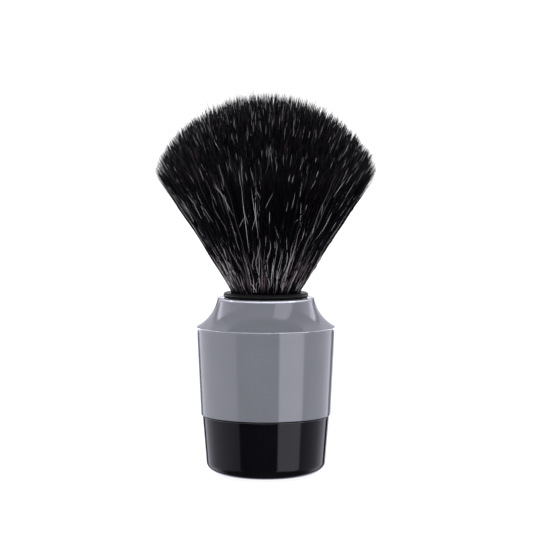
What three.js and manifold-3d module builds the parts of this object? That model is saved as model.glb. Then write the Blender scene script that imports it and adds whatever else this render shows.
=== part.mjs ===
// A shaving brush: a weighted two-part handle, and a knot of synthetic fibres that screws into it.
//
// Millimetres, +Z up. The brush stands on its foot pad, whose underside is centred on the origin,
// and its axis is the Z axis.
//
// It comes apart like this. The knot is a bundle of fibres, bound with cord and potted with resin in
// the cup of a collar. The collar's threaded stub screws into a brass insert, and an O-ring seals
// its flange. The insert is hexagonal, so it can't turn in the sleeve. A screw under the foot pad
// runs up through the base cup, the ballast and a rubber washer into the insert's lower end, and
// draws the base up against the sleeve.

import * as THREE from "three";
import { mergeVertices } from "three/addons/utils/BufferGeometryUtils.js";
import Module from "manifold-3d";

const wasm = await Module();
wasm.setup();

// ---- Driving dimensions ---------------------------------------------------------------------

const HANDLE_HEIGHT = 51.4; // the handle's flat top face
const RIM_RADIUS = 14; // the outer edge of that face
const RIM_LAND = 0.55; // the upright band between the flare and the top face
const SHOULDER_RADIUS = 19.95; // the handle's widest point
const SHOULDER_HEIGHT = 42.85;
const FLARE_RADIUS = 11.6; // the concave sweep from the shoulder to the rim
const SLEEVE_FOOT_RADIUS = 18.72;
const SEAM_HEIGHT = 17.4; // where the sleeve meets the base cup
const SEAM_GAP = 0.3;

const BASE_TOP_RADIUS = 18.3;
const BASE_LOW_RADIUS = 17.2; // just above the rounded bottom edge
const BASE_ROUND_HEIGHT = 4.1;
const BASE_FOOT_RADIUS = 10.6; // the flat ring round the foot pad
const BASE_FLOOR = 0.25; // that ring's height, with the foot pad standing proud of it

const SOCKET_RADIUS = 10.9; // the hole in the handle's top that takes the collar's cup
const SOCKET_FLOOR = 35.4;
const SEAL_RECESS_RADIUS = 11.95;
const SEAL_RECESS_DEPTH = 0.9;
const BOSS_RADIUS = 10.2;
const BOSS_FOOT = 21;
const CAVITY_RADIUS = 16.75; // inside the sleeve's lower end
const SPIGOT_RADIUS = 16.55; // the part of the base cup that goes up into the sleeve
const SPIGOT_TOP = 22;

const FLANGE_SEAT = 0.1; // the flange's height over the handle's top face
const FLANGE_THICKNESS = 1.3;
const FLANGE_RADIUS = 12.2;
const CUP_RADIUS = 10.6;
const CUP_BORE = 9.8;
const CUP_DEPTH = 12.6; // from the handle's top face down to the cup's underside
const CUP_FLOOR = 2;
const STUB_LENGTH = 9.5;

const KNOT_THREAD = { pitch: 1.5, crest: 4.9, root: 4.1, steps: 14 }; // M10 x 1.5
const SCREW_THREAD = { pitch: 0.8, crest: 2.45, root: 2.0, steps: 8 }; // M5 x 0.8
const THREAD_CLEARANCE = 0.15;

const INSERT_FLATS = 14; // across the flats of the insert's hexagon
const INSERT_FOOT = 19.1;
const INSERT_FLANGE = 1.3;
const SCREW_HEAD = { radius: 4.75, height: 2.7, seat: 1.6 };
const WASHER = { bore: 2.75, radius: 4.9, height: 0.9 };
const COUNTERBORE = { radius: 5.3, roof: 5.4 };
const PAD = { radius: 9.85, height: 1.35 };
const PAD_FIT = 0.15; // the gap round the foot pad
const BALLAST = { bore: 2.95, radius: 14.5, seat: 4.5, top: 16 };
const DAMPER = { bore: 3.2, radius: 9, height: 2.8 };
const BASE_SEAL = { radius: 16, section: 1.1, height: 19 };
const COLLAR_SEAL = { radius: 11.3, section: 0.8, height: -0.45 }; // from the handle's top face

const FIBRE_ROOT_RADIUS = 9.45;
const FIBRE_WAIST_RADIUS = 8.4; // under the binding
const FAN_START = 1.5; // heights of the fan are above the handle's top face
const FAN_CORNER = 35.4;
const FAN_SLOPE = 0.6;
const FAN_CURVE = 0.0017; // the fan opens a little faster towards its top
const DOME_RADIUS = 35;
const DOME_CENTRE = 23.25;
const DOME_EDGE = 6; // degrees of the dome lost where its edge rounds into the fan's side
const FLUTES = 24;
const FLUTE_DEPTH = 0.014; // as a share of the radius

const BODY_STEPS = 36; // flats round a body of revolution
const SMALL_STEPS = 20;

// ---- Materials ------------------------------------------------------------------------------

const finish = (color, roughness, metalness = 0) =>
  new THREE.MeshStandardMaterial({ color, roughness, metalness });

const GREY_PLASTIC = () => finish(0x868b92, 0.15);
const BLACK_PLASTIC = () => finish(0x0b0b0e, 0.12);
const SATIN_BLACK = () => finish(0x1c1c1b, 0.35);
const FIBRE = () => finish(0x0d0b0d, 0.5);
const CORD = () => finish(0xcfc4a8, 0.9);
const RESIN = () => finish(0xb98a3c, 0.25);
const BRASS = () => finish(0xc9a352, 0.3, 1);
const STEEL = () => finish(0xa8abae, 0.35, 1);
const RUBBER = () => finish(0x161616, 0.85);

// ---- Geometry helpers -----------------------------------------------------------------------

const at = (radius, height) => new THREE.Vector2(radius, height);

// Points along an ellipse's arc in the plane of radius and height, with angles in degrees from +r.
function arc(centre, radiusR, radiusZ, from, to, steps) {
  return Array.from({ length: steps + 1 }, (_, i) => {
    const angle = THREE.MathUtils.degToRad(from + ((to - from) * i) / steps);
    return at(centre.x + radiusR * Math.cos(angle), centre.y + radiusZ * Math.sin(angle));
  });
}

const round = (centre, radius, from, to, steps) => arc(centre, radius, radius, from, to, steps);

// The centre of a circle through two points, on the right of the way from one to the other.
function centreRightOf(from, to, radius) {
  const half = to.clone().sub(from).multiplyScalar(0.5);
  const rise = Math.sqrt(radius ** 2 - half.lengthSq());
  const side = at(half.y, -half.x).normalize().multiplyScalar(rise);
  return from.clone().add(half).add(side);
}

// A closed solid from a geometry: manifold-3d wants the vertices that faces share to be one.
function solid(geometry) {
  const bare = geometry.index ? geometry.toNonIndexed() : geometry.clone();
  bare.deleteAttribute("normal");
  bare.deleteAttribute("uv");
  const merged = mergeVertices(bare, 1e-4);
  return new wasm.Manifold(
    new wasm.Mesh({
      numProp: 3,
      vertProperties: merged.attributes.position.array,
      triVerts: new Uint32Array(merged.index.array),
    }),
  );
}

// The way back, from a solid to a geometry with flat faces.
function geometryOf(body) {
  const mesh = body.getMesh();
  const shared = new THREE.BufferGeometry()
    .setAttribute("position", new THREE.BufferAttribute(mesh.vertProperties, 3))
    .setIndex(new THREE.BufferAttribute(mesh.triVerts, 1));
  const flat = shared.toNonIndexed();
  flat.computeVertexNormals();
  return flat;
}

// Turns a profile about the Z axis. A profile off the axis is closed on itself.
function turned(profile, steps = BODY_STEPS) {
  const closed = profile[0].x > 0 ? [...profile, profile[0].clone()] : profile;
  return solid(new THREE.LatheGeometry(closed, steps).rotateX(Math.PI / 2));
}

// A ring with chamfered edges, standing on its own z = 0.
function ring({ bore, radius, height }, chamfer, steps) {
  return turned(
    [
      at(bore, 0),
      at(radius - chamfer, 0),
      at(radius, chamfer),
      at(radius, height - chamfer),
      at(radius - chamfer, height),
      at(bore, height),
    ],
    steps,
  );
}

// A prism with a regular hexagon's section, measured across its flats, standing on z = bottom.
function hexagon(acrossFlats, bottom, top) {
  const radius = acrossFlats / 2 / Math.cos(Math.PI / 6);
  return solid(
    new THREE.CylinderGeometry(radius, radius, top - bottom, 6)
      .rotateX(Math.PI / 2)
      .translate(0, 0, (top + bottom) / 2),
  );
}

// A right-hand helix about the Z axis. A section swept along it keeps its x on the radius and its y
// parallel to Z.
class ThreadHelix extends THREE.Curve {
  constructor(pitch, bottom, turns, steps) {
    super();
    Object.assign(this, { pitch, bottom, turns, arcLengthDivisions: steps });
  }

  angle(t) {
    return 2 * Math.PI * this.turns * t;
  }

  getPoint(t, target = new THREE.Vector3()) {
    // a hair's radius, because the section's own x holds the radius
    const hair = 1e-6;
    const angle = this.angle(t);
    const height = this.bottom + this.pitch * this.turns * t;
    return target.set(hair * Math.cos(angle), hair * Math.sin(angle), height);
  }

  computeFrenetFrames(steps) {
    const angles = Array.from({ length: steps + 1 }, (_, i) => this.angle(i / steps));
    return {
      tangents: angles.map((a) => new THREE.Vector3(-Math.sin(a), Math.cos(a), 0)),
      normals: angles.map((a) => new THREE.Vector3(Math.cos(a), Math.sin(a), 0)),
      binormals: angles.map(() => new THREE.Vector3(0, 0, -1)),
    };
  }
}

// A section swept along a helix that starts at z = bottom.
function swept(outline, pitch, bottom, turns, stepsPerTurn) {
  const steps = Math.ceil(turns * stepsPerTurn);
  const extrudePath = new ThreadHelix(pitch, bottom, turns, steps);
  const shape = new THREE.Shape(outline);
  return solid(new THREE.ExtrudeGeometry(shape, { steps, extrudePath, bevelEnabled: false }));
}

// The ridge of a thread from z = bottom to z = top. A margin widens it into a nut's groove.
function ridge({ pitch, crest, root, steps }, bottom, top, margin = 0) {
  const halfCrest = 0.08 * pitch + margin;
  const halfRoot = 0.36 * pitch + margin;
  const buried = 0.25; // how far the ridge reaches into its core
  const halfBuried = halfRoot + (buried * (halfRoot - halfCrest)) / (crest - root);
  const outline = [
    at(root - buried, -halfBuried),
    at(crest + margin, -halfCrest),
    at(crest + margin, halfCrest),
    at(root - buried, halfBuried),
  ];
  return swept(outline, pitch, bottom, (top - bottom) / pitch, steps);
}

// ---- Handle ---------------------------------------------------------------------------------

// The sleeve's outside, from its lower edge up to the rim of its top face.
function sleeveOutside() {
  const edge = 0.25; // the breaks on the shoulder and the lower edge
  const rimEdge = 0.12;
  const foot = SEAM_HEIGHT + SEAM_GAP;
  const shoulder = at(SHOULDER_RADIUS - edge, SHOULDER_HEIGHT);
  const rim = at(RIM_RADIUS, HANDLE_HEIGHT - RIM_LAND);
  const centre = centreRightOf(shoulder, rim, FLARE_RADIUS);
  const bearing = (p) => 180 + THREE.MathUtils.radToDeg(Math.atan2(centre.y - p.y, centre.x - p.x));
  return [
    at(SLEEVE_FOOT_RADIUS - edge, foot),
    at(SLEEVE_FOOT_RADIUS, foot + edge),
    at(SHOULDER_RADIUS, SHOULDER_HEIGHT - edge),
    ...round(centre, FLARE_RADIUS, bearing(shoulder), bearing(rim), 6),
    at(RIM_RADIUS, HANDLE_HEIGHT - rimEdge),
    at(RIM_RADIUS - rimEdge, HANDLE_HEIGHT),
  ];
}

// The sleeve's inside: the socket for the collar, the boss for the insert, and the hollow round them.
function sleeveInside() {
  const bossBore = 6.8; // within the hexagon, which is cut afterwards
  const tube = at(12.9, SOCKET_FLOOR - 2); // the lower edge of the wall round the socket
  const roof = at(tube.x, 43.6);
  const underFlare = at(14.6, 42.6);
  const underShoulder = at(17.4, 39);
  const step = 1; // the lead-in to the bore that the spigot fills
  return [
    at(SEAL_RECESS_RADIUS, HANDLE_HEIGHT),
    at(SEAL_RECESS_RADIUS, HANDLE_HEIGHT - SEAL_RECESS_DEPTH),
    at(SOCKET_RADIUS, HANDLE_HEIGHT - SEAL_RECESS_DEPTH),
    at(SOCKET_RADIUS, SOCKET_FLOOR),
    at(bossBore, SOCKET_FLOOR),
    at(bossBore, BOSS_FOOT),
    at(BOSS_RADIUS, BOSS_FOOT),
    at(BOSS_RADIUS, tube.y),
    tube,
    roof,
    underFlare,
    underShoulder,
    at(CAVITY_RADIUS + step / 4, SPIGOT_TOP + 2 * step),
    at(CAVITY_RADIUS, SPIGOT_TOP + step),
    at(CAVITY_RADIUS, SEAM_HEIGHT + SEAM_GAP),
  ];
}

// Radial ribs that hold the boss in the middle of the sleeve.
function ribs() {
  const count = 6;
  const thickness = 1.5;
  const inner = 9.4; // from inside the boss's wall
  const outer = 17.9; // to inside the sleeve's
  const bottom = 24.5;
  const top = SOCKET_FLOOR - 0.4;
  return Array.from({ length: count }, (_, i) =>
    solid(
      new THREE.BoxGeometry(outer - inner, thickness, top - bottom)
        .translate((inner + outer) / 2, 0, (top + bottom) / 2)
        .rotateZ(((i + 0.5) * 2 * Math.PI) / count),
    ),
  );
}

function handleSleeve() {
  const shell = turned([...sleeveOutside(), ...sleeveInside()]);
  const pocketFit = 0.4;
  const pocket = hexagon(INSERT_FLATS + pocketFit, BOSS_FOOT - 1, SOCKET_FLOOR + 1);
  return ribs()
    .reduce((whole, rib) => whole.add(rib), shell)
    .subtract(pocket);
}

// The base cup: rounded bottom edge, tapered wall, and a spigot with a groove for its O-ring.
function baseCup() {
  const roundWidth = BASE_LOW_RADIUS - BASE_FOOT_RADIUS;
  const roundHeight = BASE_ROUND_HEIGHT - BASE_FLOOR;
  const roundCentre = at(BASE_FOOT_RADIUS, BASE_ROUND_HEIGHT);
  const edge = 0.2;
  const groove = { root: 15.3, bottom: 18.2, top: 19.8 };
  const wallBore = 14.9;
  const floor = 4.2;
  const cove = 1; // the chamfer inside, where the wall meets the floor
  const hub = at(7.4, 7.8);
  return turned([
    ...arc(roundCentre, roundWidth, roundHeight, -90, 0, 7),
    at(BASE_TOP_RADIUS, SEAM_HEIGHT - edge),
    at(BASE_TOP_RADIUS - edge, SEAM_HEIGHT),
    at(SPIGOT_RADIUS, SEAM_HEIGHT),
    at(SPIGOT_RADIUS, groove.bottom),
    at(groove.root, groove.bottom),
    at(groove.root, groove.top),
    at(SPIGOT_RADIUS, groove.top),
    at(SPIGOT_RADIUS, SPIGOT_TOP - 2 * edge),
    at(SPIGOT_RADIUS - 2 * edge, SPIGOT_TOP),
    at(wallBore, SPIGOT_TOP),
    at(wallBore, floor + cove),
    at(wallBore - cove, floor),
    at(hub.x, floor),
    hub,
    at(WASHER.bore, hub.y),
    at(WASHER.bore, COUNTERBORE.roof),
    at(COUNTERBORE.radius, COUNTERBORE.roof),
    at(COUNTERBORE.radius, PAD.height + PAD_FIT),
    at(PAD.radius + PAD_FIT, PAD.height + PAD_FIT),
    at(PAD.radius + PAD_FIT, BASE_FLOOR),
  ]);
}

// The foot pad, with two grooves pressed into its underside.
function footPad() {
  const depth = 0.4;
  const width = 0.8;
  const chamfer = 0.3;
  const grooves = [4.6, 7.4].flatMap((inner) => [
    at(inner, 0),
    at(inner, depth),
    at(inner + width, depth),
    at(inner + width, 0),
  ]);
  return turned([
    at(0, 0),
    ...grooves,
    at(PAD.radius - chamfer, 0),
    at(PAD.radius, chamfer),
    at(PAD.radius, PAD.height),
    at(0, PAD.height),
  ]);
}

// The ballast: a steel slug, bored for the screw and relieved underneath for the cup's hub.
function ballastWeight() {
  const height = BALLAST.top - BALLAST.seat;
  const relief = at(7.8, 3.6);
  const chamfer = 1;
  return turned([
    at(relief.x, 0),
    at(BALLAST.radius - chamfer, 0),
    at(BALLAST.radius, chamfer),
    at(BALLAST.radius, height - chamfer / 2),
    at(BALLAST.radius - chamfer / 2, height),
    at(BALLAST.bore, height),
    at(BALLAST.bore, relief.y),
    at(relief.x, relief.y),
  ]);
}

// The tie screw: a low round head with a hexagon socket underneath, and a thread at its upper end.
function tieScrew() {
  const { radius, height } = SCREW_HEAD;
  const { crest, root } = SCREW_THREAD;
  const tip = height + 20;
  const threadStart = tip - 6;
  const runout = 0.4; // the cone from the shank down to the thread's root
  const lead = 0.5;
  const domed = at(radius - 0.2, 0.9);
  const core = turned(
    [
      at(0, 0),
      at(radius - 1, 0),
      domed,
      at(radius, height),
      at(crest, height),
      at(crest, threadStart - runout),
      at(root, threadStart),
      at(root, tip - lead),
      at(root - lead, tip),
      at(0, tip),
    ],
    SMALL_STEPS,
  );
  const thread = ridge(SCREW_THREAD, threadStart + runout, tip - lead - runout);
  const socket = hexagon(3, -1, 1.6);
  return core.add(thread).subtract(socket);
}

// The brass insert: a hexagonal body under a round flange, tapped from above for the knot and bored
// from below for the screw.
function threadedInsert() {
  const top = SOCKET_FLOOR + 0.1 + INSERT_FLANGE - INSERT_FOOT;
  const seat = top - INSERT_FLANGE;
  const flangeRadius = 8.8;
  const edge = 0.2;
  const flange = turned([
    at(0, seat),
    at(flangeRadius, seat),
    at(flangeRadius, top - edge),
    at(flangeRadius - edge, top),
    at(0, top),
  ]);
  const body = hexagon(INSERT_FLATS, 0, seat + INSERT_FLANGE / 2);
  return body.add(flange).subtract(insertBore(top)).subtract(insertGroove(top));
}

const RELIEF_HEIGHT = 7.8; // in the insert, where the knot's thread gives way to the screw's bore

// The insert's bore, with a relief at the foot of the knot's thread for the tap to run out into.
function insertBore(top) {
  const fit = 0.2;
  const screw = SCREW_THREAD.crest + fit;
  const relief = KNOT_THREAD.crest + fit;
  const tapping = KNOT_THREAD.root + fit;
  const over = 1; // past the insert's ends, for a clean cut
  return turned(
    [
      at(0, -over),
      at(screw, -over),
      at(screw, RELIEF_HEIGHT - 1),
      at(relief, RELIEF_HEIGHT - 0.6),
      at(relief, RELIEF_HEIGHT + 1.4),
      at(tapping, RELIEF_HEIGHT + 2),
      at(tapping, top - 0.9),
      at(relief, top),
      at(relief, top + over),
      at(0, top + over),
    ],
    SMALL_STEPS,
  );
}

// The groove for the knot's thread, from the relief up through the insert's top.
function insertGroove(top) {
  const bottom = threadPhase(RELIEF_HEIGHT + INSERT_FOOT) + KNOT_THREAD.pitch - INSERT_FOOT;
  return ridge(KNOT_THREAD, bottom, top + KNOT_THREAD.pitch / 2, THREAD_CLEARANCE);
}

// The nearest height at or below this one where the knot's thread crosses the +X side. The stub
// and the insert both start their helix there, so that they are in mesh.
function threadPhase(height) {
  return Math.floor(height / KNOT_THREAD.pitch) * KNOT_THREAD.pitch;
}

// ---- Knot, with heights above the handle's top face -------------------------------------------

// The collar: a cup for the fibres' root with a bead-edged flange, and a threaded stub below it.
function knotCollar() {
  const flangeTop = FLANGE_SEAT + FLANGE_THICKNESS;
  const bead = FLANGE_THICKNESS / 2;
  const beadCentre = at(FLANGE_RADIUS - bead, FLANGE_SEAT + bead);
  const tip = -CUP_DEPTH - STUB_LENGTH;
  const chamfer = 0.3;
  const body = turned([
    at(0, tip),
    at(KNOT_THREAD.root - chamfer, tip),
    at(KNOT_THREAD.root, tip + chamfer),
    at(KNOT_THREAD.root, -CUP_DEPTH),
    at(CUP_RADIUS - chamfer, -CUP_DEPTH),
    at(CUP_RADIUS, -CUP_DEPTH + chamfer),
    at(CUP_RADIUS, FLANGE_SEAT),
    ...round(beadCentre, bead, -90, 90, 6),
    at(CUP_BORE + chamfer, flangeTop),
    at(CUP_BORE, flangeTop - chamfer),
    at(CUP_BORE, -CUP_DEPTH + CUP_FLOOR),
    at(0, -CUP_DEPTH + CUP_FLOOR),
  ]);
  return body.add(stubThread(tip));
}

// The stub's thread, trimmed by a cone at the tip for its lead-in.
function stubThread(tip) {
  const { crest, root, pitch } = KNOT_THREAD;
  const bottom = threadPhase(HANDLE_HEIGHT + tip) - HANDLE_HEIGHT;
  const turns = 5.6;
  const thread = ridge(KNOT_THREAD, bottom, bottom + turns * pitch);
  const start = tip + 0.1;
  const end = -CUP_DEPTH - 0.2;
  const outside = crest + 0.3;
  const envelope = turned(
    [at(0, start), at(root - 0.2, start), at(outside, start + pitch), at(outside, end), at(0, end)],
    SMALL_STEPS,
  );
  return thread.intersect(envelope);
}

const RESIN_TOP = -CUP_DEPTH + CUP_FLOOR + 3.6;
const BINDING = { cord: 0.84, pitch: 1, turns: 3.4, bottom: -5.2 };

// The resin plug, dished where the fibres' ends sink into it.
function knotResin() {
  const radius = CUP_BORE - 0.2;
  const foot = -CUP_DEPTH + CUP_FLOOR + 0.1;
  const dish = 1.4;
  return turned([
    at(0, foot),
    at(radius, foot),
    at(radius, RESIN_TOP),
    at(radius - 0.9, RESIN_TOP - dish / 2),
    at(0, RESIN_TOP - dish),
  ]);
}

// The cord wound round the fibres' root.
function knotBinding() {
  const centre = at(FIBRE_WAIST_RADIUS + 0.33 + BINDING.cord / 2, 0);
  const section = round(centre, BINDING.cord / 2, 0, 300, 5);
  return swept(section, BINDING.pitch, BINDING.bottom, BINDING.turns, SMALL_STEPS);
}

const fanRadius = (height) => {
  const up = height - FAN_START;
  return FIBRE_ROOT_RADIUS + FAN_SLOPE * up + FAN_CURVE * up ** 2;
};

// The fibres' root, from its lower end in the resin's dish up past the waist for the binding.
function fibreRoot() {
  const waistFoot = BINDING.bottom - 1;
  const waistTop = BINDING.bottom + BINDING.turns * BINDING.pitch + 1;
  return [
    at(0, RESIN_TOP - 1),
    at(FIBRE_WAIST_RADIUS, RESIN_TOP - 0.4),
    at(FIBRE_ROOT_RADIUS - 0.4, RESIN_TOP + 0.3),
    at(FIBRE_WAIST_RADIUS, waistFoot),
    at(FIBRE_WAIST_RADIUS, waistTop),
    at(FIBRE_ROOT_RADIUS, waistTop + 1),
  ];
}

// The fibres as one soft body: the root, a flaring fan and a domed top.
function fibreProfile() {
  const corner = at(fanRadius(FAN_CORNER), FAN_CORNER);
  const sides = [0, 0.3, 0.6, 0.85].map((share) => {
    const height = FAN_START + share * (FAN_CORNER - FAN_START);
    return at(fanRadius(height), height);
  });
  const start = THREE.MathUtils.radToDeg(Math.asin((corner.y - DOME_CENTRE) / DOME_RADIUS));
  const dome = round(at(0, DOME_CENTRE), DOME_RADIUS, start + DOME_EDGE, 90, 7);
  dome[dome.length - 1].x = 0;
  return [...fibreRoot(), ...sides, at(corner.x - 0.25, corner.y - 0.6), ...dome];
}

// Shallow flutes that deepen towards the tips, as the fibres gather in tufts.
function fluted(geometry) {
  const position = geometry.attributes.position;
  for (let i = 0; i < position.count; i++) {
    const [x, y, z] = [position.getX(i), position.getY(i), position.getZ(i)];
    const rise = THREE.MathUtils.clamp((z - FAN_START) / (FAN_CORNER - FAN_START), 0, 1);
    const wave = Math.cos(FLUTES * Math.atan2(y, x));
    const scale = 1 + FLUTE_DEPTH * rise * wave;
    position.setXY(i, x * scale, y * scale);
  }
  return geometry;
}

function fibreKnot() {
  const steps = 2 * FLUTES;
  const fan = new THREE.LatheGeometry(fibreProfile(), steps).rotateX(Math.PI / 2);
  return solid(fluted(fan));
}

// ---- Assembly -------------------------------------------------------------------------------

// An O-ring lying flat, centred on its own origin.
const oRing = ({ radius, section }) =>
  solid(new THREE.TorusGeometry(radius, section / 2, 6, BODY_STEPS));

// A named piece, raised to its place in its group.
function piece(name, body, material, height = 0) {
  const mesh = new THREE.Mesh(geometryOf(body), material);
  mesh.name = name;
  mesh.position.z = height;
  return mesh;
}

const handle = new THREE.Group();
handle.add(
  piece("handle_sleeve", handleSleeve(), GREY_PLASTIC()),
  piece("base_cup", baseCup(), BLACK_PLASTIC()),
  piece("foot_pad", footPad(), RUBBER()),
  piece("base_seal", oRing(BASE_SEAL), RUBBER(), BASE_SEAL.height),
  piece("tie_screw", tieScrew(), STEEL(), SCREW_HEAD.seat),
  piece(
    "screw_washer",
    ring(WASHER, 0.15, SMALL_STEPS),
    STEEL(),
    SCREW_HEAD.seat + SCREW_HEAD.height + 0.1,
  ),
  piece("ballast_weight", ballastWeight(), STEEL(), BALLAST.seat),
  piece("ballast_damper", ring(DAMPER, 0.3), RUBBER(), BALLAST.top + 0.15),
  piece("threaded_insert", threadedInsert(), BRASS(), INSERT_FOOT),
);

const knot = new THREE.Group();
knot.position.z = HANDLE_HEIGHT;
knot.add(
  piece("collar_seal", oRing(COLLAR_SEAL), RUBBER(), COLLAR_SEAL.height),
  piece("knot_collar", knotCollar(), SATIN_BLACK()),
  piece("knot_resin", knotResin(), RESIN()),
  piece("knot_binding", knotBinding(), CORD()),
  piece("fibre_knot", fibreKnot(), FIBRE()),
);

const brush = new THREE.Group();
brush.add(handle, knot);

export default brush;
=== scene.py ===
import math

import bpy
import numpy as np
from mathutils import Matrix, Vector


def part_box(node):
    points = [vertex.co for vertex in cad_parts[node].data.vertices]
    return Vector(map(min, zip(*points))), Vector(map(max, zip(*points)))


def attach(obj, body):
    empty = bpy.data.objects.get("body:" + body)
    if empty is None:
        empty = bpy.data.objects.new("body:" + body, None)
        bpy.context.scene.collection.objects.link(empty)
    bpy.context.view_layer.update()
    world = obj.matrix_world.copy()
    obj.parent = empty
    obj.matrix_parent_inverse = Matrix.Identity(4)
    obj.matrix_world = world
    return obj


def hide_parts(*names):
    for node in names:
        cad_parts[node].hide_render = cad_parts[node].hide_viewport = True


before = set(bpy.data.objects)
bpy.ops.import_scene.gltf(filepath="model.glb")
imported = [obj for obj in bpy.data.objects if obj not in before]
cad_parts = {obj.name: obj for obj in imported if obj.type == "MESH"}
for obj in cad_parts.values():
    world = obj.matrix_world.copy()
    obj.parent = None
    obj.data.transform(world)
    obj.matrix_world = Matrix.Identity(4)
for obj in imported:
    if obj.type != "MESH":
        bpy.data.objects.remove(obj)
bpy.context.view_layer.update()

# Lengths below are in millimetres unless a name says otherwise: mesh makers turn them into metres.
MM = 0.001

# Heights taken from the CAD: the handle's top face, the seam, and other pieces' ends.
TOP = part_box("handle_sleeve")[1].z / MM
SLEEVE_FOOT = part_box("handle_sleeve")[0].z / MM
BASE_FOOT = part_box("base_cup")[0].z / MM
PAD_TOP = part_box("foot_pad")[1].z / MM
COLLAR_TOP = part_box("knot_collar")[1].z / MM
STUB_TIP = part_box("knot_collar")[0].z / MM


# ---- Mesh makers ------------------------------------------------------------------------------

# Edges sharper than this many degrees stay sharp.
SMOOTH_ANGLE = 30


def add_object(name, vertices, faces, smooth_angle=None):
    """A mesh object from arrays in millimetres, smooth except at edges sharper than the angle."""
    mesh = bpy.data.meshes.new(name)
    mesh.from_pydata((np.asarray(vertices) * MM).tolist(), [], faces)
    mesh.validate()
    if smooth_angle is not None:
        mesh.shade_smooth()
        mesh.set_sharp_from_angle(angle=math.radians(smooth_angle))
    piece = bpy.data.objects.new(name, mesh)
    bpy.context.scene.collection.objects.link(piece)
    return piece


def arc(centre, radius_r, radius_z, start, end, steps):
    """Points along an ellipse's arc in the (r, z) plane, with angles in degrees from +r."""
    angles = np.radians(np.linspace(start, end, steps + 1))
    return [
        (centre[0] + radius_r * math.cos(a), centre[1] + radius_z * math.sin(a))
        for a in angles
    ]


def fillet(before, corner, after, radius, steps):
    """The points that round off the corner of a profile."""
    a, b, c = (np.array(p, float) for p in (before, corner, after))
    u = (a - b) / np.linalg.norm(a - b)
    v = (c - b) / np.linalg.norm(c - b)
    half = math.acos(max(-1, min(1, float(u @ v)))) / 2
    reach = radius / math.tan(half)
    first, last = b + u * reach, b + v * reach
    middle = b + (u + v) / np.linalg.norm(u + v) * radius / math.sin(half)
    points = []
    for i in range(steps + 1):
        t = i / steps
        chord = first * (1 - t) + last * t - middle
        points.append(tuple(middle + chord / np.linalg.norm(chord) * radius))
    return points


def lathe_data(profile, steps, hexagon=()):
    """Vertices and faces of a profile of (r, z) turned about Z. The profile runs anticlockwise, and
    is closed on itself unless it starts and ends on the axis. Points whose index is in hexagon get
    a hexagonal section instead of a round one, with r as half the size across its flats."""
    on_axis = profile[0][0] == 0 and profile[-1][0] == 0
    vertices, rings = [], []
    angles = np.arange(steps) * 2 * math.pi / steps
    hex_scale = 1 / np.cos((angles + math.pi / 6) % (math.pi / 3) - math.pi / 6)
    for index, (r, z) in enumerate(profile):
        if r == 0:
            rings.append([len(vertices)])
            vertices.append((0, 0, z))
            continue
        radius = r * hex_scale if index in hexagon else np.full(steps, r)
        rings.append(list(range(len(vertices), len(vertices) + steps)))
        vertices += [
            (q * math.cos(a), q * math.sin(a), z) for q, a in zip(radius, angles)
        ]
    faces = []
    pairs = list(zip(rings, rings[1:]))
    if not on_axis:
        pairs.append((rings[-1], rings[0]))
    for low, high in pairs:
        for i in range(steps):
            j = (i + 1) % steps
            if len(low) == 1:
                faces.append((low[0], high[j], high[i]))
            elif len(high) == 1:
                faces.append((low[i], low[j], high[0]))
            else:
                faces.append((low[i], low[j], high[j], high[i]))
    return vertices, faces


def lathe(name, profile, steps, hexagon=(), smooth_angle=SMOOTH_ANGLE):
    """A mesh object made by turning a profile."""
    vertices, faces = lathe_data(profile, steps, hexagon)
    return add_object(name, vertices, faces, smooth_angle)


def helix_data(section, pitch, bottom, turns, per_turn):
    """A closed section of (r, dz) points swept up a right-hand helix."""
    steps = int(round(turns * per_turn))
    count = len(section)
    vertices, faces = [], []
    for i in range(steps + 1):
        a = 2 * math.pi * i / per_turn
        z = bottom + pitch * i / per_turn
        vertices += [(r * math.cos(a), r * math.sin(a), z + dz) for r, dz in section]
    for i in range(steps):
        for k in range(count):
            n = (k + 1) % count
            low, high = i * count, (i + 1) * count
            faces.append((low + k, low + n, high + n, high + k))
    faces.append(tuple(range(count))[::-1])
    faces.append(tuple(range(steps * count, (steps + 1) * count)))
    return vertices, faces


def merged(*parts):
    """Several lists of vertices and faces as one."""
    vertices, faces = [], []
    for part_vertices, part_faces in parts:
        shift = len(vertices)
        vertices += list(part_vertices)
        faces += [tuple(i + shift for i in face) for face in part_faces]
    return vertices, faces


# ---- Materials --------------------------------------------------------------------------------

# Noise is stretched so that this part of its range covers all of what it varies.
NOISE_SPAN = (0.3, 0.7)


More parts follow.
